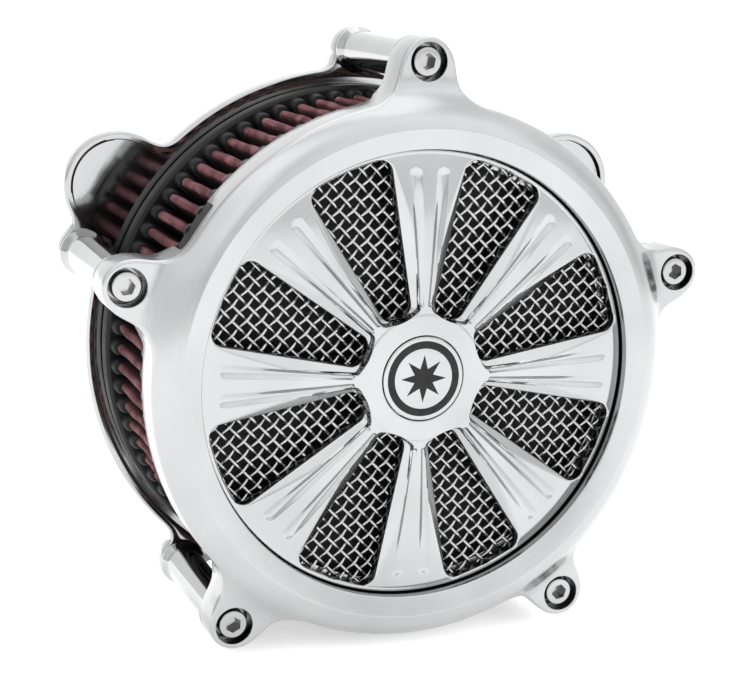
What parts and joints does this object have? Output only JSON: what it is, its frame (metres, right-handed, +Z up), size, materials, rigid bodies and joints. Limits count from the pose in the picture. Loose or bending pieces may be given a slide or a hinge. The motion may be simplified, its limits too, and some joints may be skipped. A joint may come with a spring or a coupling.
{
  "type": "motorcycle air cleaner assembly",
  "caption": "Round polished motorcycle air cleaner: pleated filter element between an eared backplate with intake ring and a spoked front cover backed by a wire screen.",
  "frame": {"origin": "middle of the bounding box on the plane of the lowest point, with the air cleaner's axis level, 93.8 mm up", "axes": "-Y out of the front cover, +Y out of the backplate towards the throttle body, +X to the right seen from the front, +Z up"},
  "size_m": [0.2064, 0.0996, 0.202],
  "materials": {
    "plated_aluminium": "machined from solid, polished and bright chrome plated",
    "screw_steel": "bright zinc or chrome plated fasteners",
    "wire_steel": "woven bright wire",
    "moulded_rubber": "moulded satin black rubber",
    "cotton_gauze": "oiled red cotton gauze in sharp pleats",
    "black_enamel": "gloss black enamel in shallow pockets",
    "copper": "annealed copper sealing washer"
  },
  "bodies": {
    "backplate_assembly": {"backplate": "plated_aluminium", "post_1": "plated_aluminium", "post_2": "plated_aluminium", "post_3": "plated_aluminium", "post_4": "plated_aluminium", "post_5": "plated_aluminium", "post_screw_1": "screw_steel", "post_screw_2": "screw_steel", "post_screw_3": "screw_steel", "post_screw_4": "screw_steel", "post_screw_5": "screw_steel", "intake_ring": "plated_aluminium", "intake_gasket": "moulded_rubber", "intake_screw_1": "screw_steel", "intake_screw_2": "screw_steel", "intake_screw_3": "screw_steel", "breather_bolt_left": "screw_steel", "breather_bolt_right": "screw_steel", "breather_washer_left": "copper", "breather_washer_right": "copper"},
    "filter_element": {"rear_end_cap": "moulded_rubber", "front_end_cap": "moulded_rubber", "pleated_media": "cotton_gauze", "inner_screen": "wire_steel"},
    "front_cover": {"cover_ring": "plated_aluminium", "face_insert": "plated_aluminium", "wire_screen": "wire_steel", "insert_screw_1": "screw_steel", "insert_screw_2": "screw_steel", "insert_screw_3": "screw_steel", "insert_screw_4": "screw_steel", "centre_badge": "plated_aluminium", "badge_ring_inlay": "black_enamel", "badge_star_inlay": "black_enamel"},
    "washer_1": {"cover_washer_1": "screw_steel"},
    "screw_1": {"cover_screw_1": "screw_steel"},
    "washer_2": {"cover_washer_2": "screw_steel"},
    "screw_2": {"cover_screw_2": "screw_steel"},
    "washer_3": {"cover_washer_3": "screw_steel"},
    "screw_3": {"cover_screw_3": "screw_steel"},
    "washer_4": {"cover_washer_4": "screw_steel"},
    "screw_4": {"cover_screw_4": "screw_steel"},
    "washer_5": {"cover_washer_5": "screw_steel"},
    "screw_5": {"cover_screw_5": "screw_steel"}
  },
  "joints": [
    {"name": "cover_slide", "type": "slide", "parent": "backplate_assembly", "child": "front_cover", "axis": [0, -1, 0], "range_m": [0, 0.09]},
    {"name": "element_slide", "type": "slide", "parent": "backplate_assembly", "child": "filter_element", "axis": [0, -1, 0], "range_m": [0, 0.045]},
    {"name": "screw_1_lift", "type": "slide", "parent": "front_cover", "child": "washer_1", "axis": [0, -1, 0], "range_m": [0, 0.012]},
    {"name": "screw_1_turn", "type": "hinge", "parent": "washer_1", "child": "screw_1", "pos_m": [0, -0.0331, 0.194], "axis": [0, -1, 0], "range_deg": [0, 3402]},
    {"name": "screw_2_lift", "type": "slide", "parent": "front_cover", "child": "washer_2", "axis": [0, -1, 0], "range_m": [0, 0.012]},
    {"name": "screw_2_turn", "type": "hinge", "parent": "washer_2", "child": "screw_2", "pos_m": [-0.0953, -0.0331, 0.12476], "axis": [0, -1, 0], "range_deg": [0, 3402]},
    {"name": "screw_3_lift", "type": "slide", "parent": "front_cover", "child": "washer_3", "axis": [0, -1, 0], "range_m": [0, 0.012]},
    {"name": "screw_3_turn", "type": "hinge", "parent": "washer_3", "child": "screw_3", "pos_m": [-0.0589, -0.0331, 0.01274], "axis": [0, -1, 0], "range_deg": [0, 3402]},
    {"name": "screw_4_lift", "type": "slide", "parent": "front_cover", "child": "washer_4", "axis": [0, -1, 0], "range_m": [0, 0.012]},
    {"name": "screw_4_turn", "type": "hinge", "parent": "washer_4", "child": "screw_4", "pos_m": [0.0589, -0.0331, 0.01274], "axis": [0, -1, 0], "range_deg": [0, 3402]},
    {"name": "screw_5_lift", "type": "slide", "parent": "front_cover", "child": "washer_5", "axis": [0, -1, 0], "range_m": [0, 0.012]},
    {"name": "screw_5_turn", "type": "hinge", "parent": "washer_5", "child": "screw_5", "pos_m": [0.0953, -0.0331, 0.12476], "axis": [0, -1, 0], "range_deg": [0, 3402]}
  ],
  "couplings": [
    {"joint": "element_slide", "follows": "cover_slide", "ratio": 0.5},
    {"joint": "screw_1_turn", "follows": "screw_1_lift", "rad_per_m": 4947.4},
    {"joint": "screw_2_turn", "follows": "screw_2_lift", "rad_per_m": 4947.4},
    {"joint": "screw_3_turn", "follows": "screw_3_lift", "rad_per_m": 4947.4},
    {"joint": "screw_4_turn", "follows": "screw_4_lift", "rad_per_m": 4947.4},
    {"joint": "screw_5_turn", "follows": "screw_5_lift", "rad_per_m": 4947.4}
  ]
}
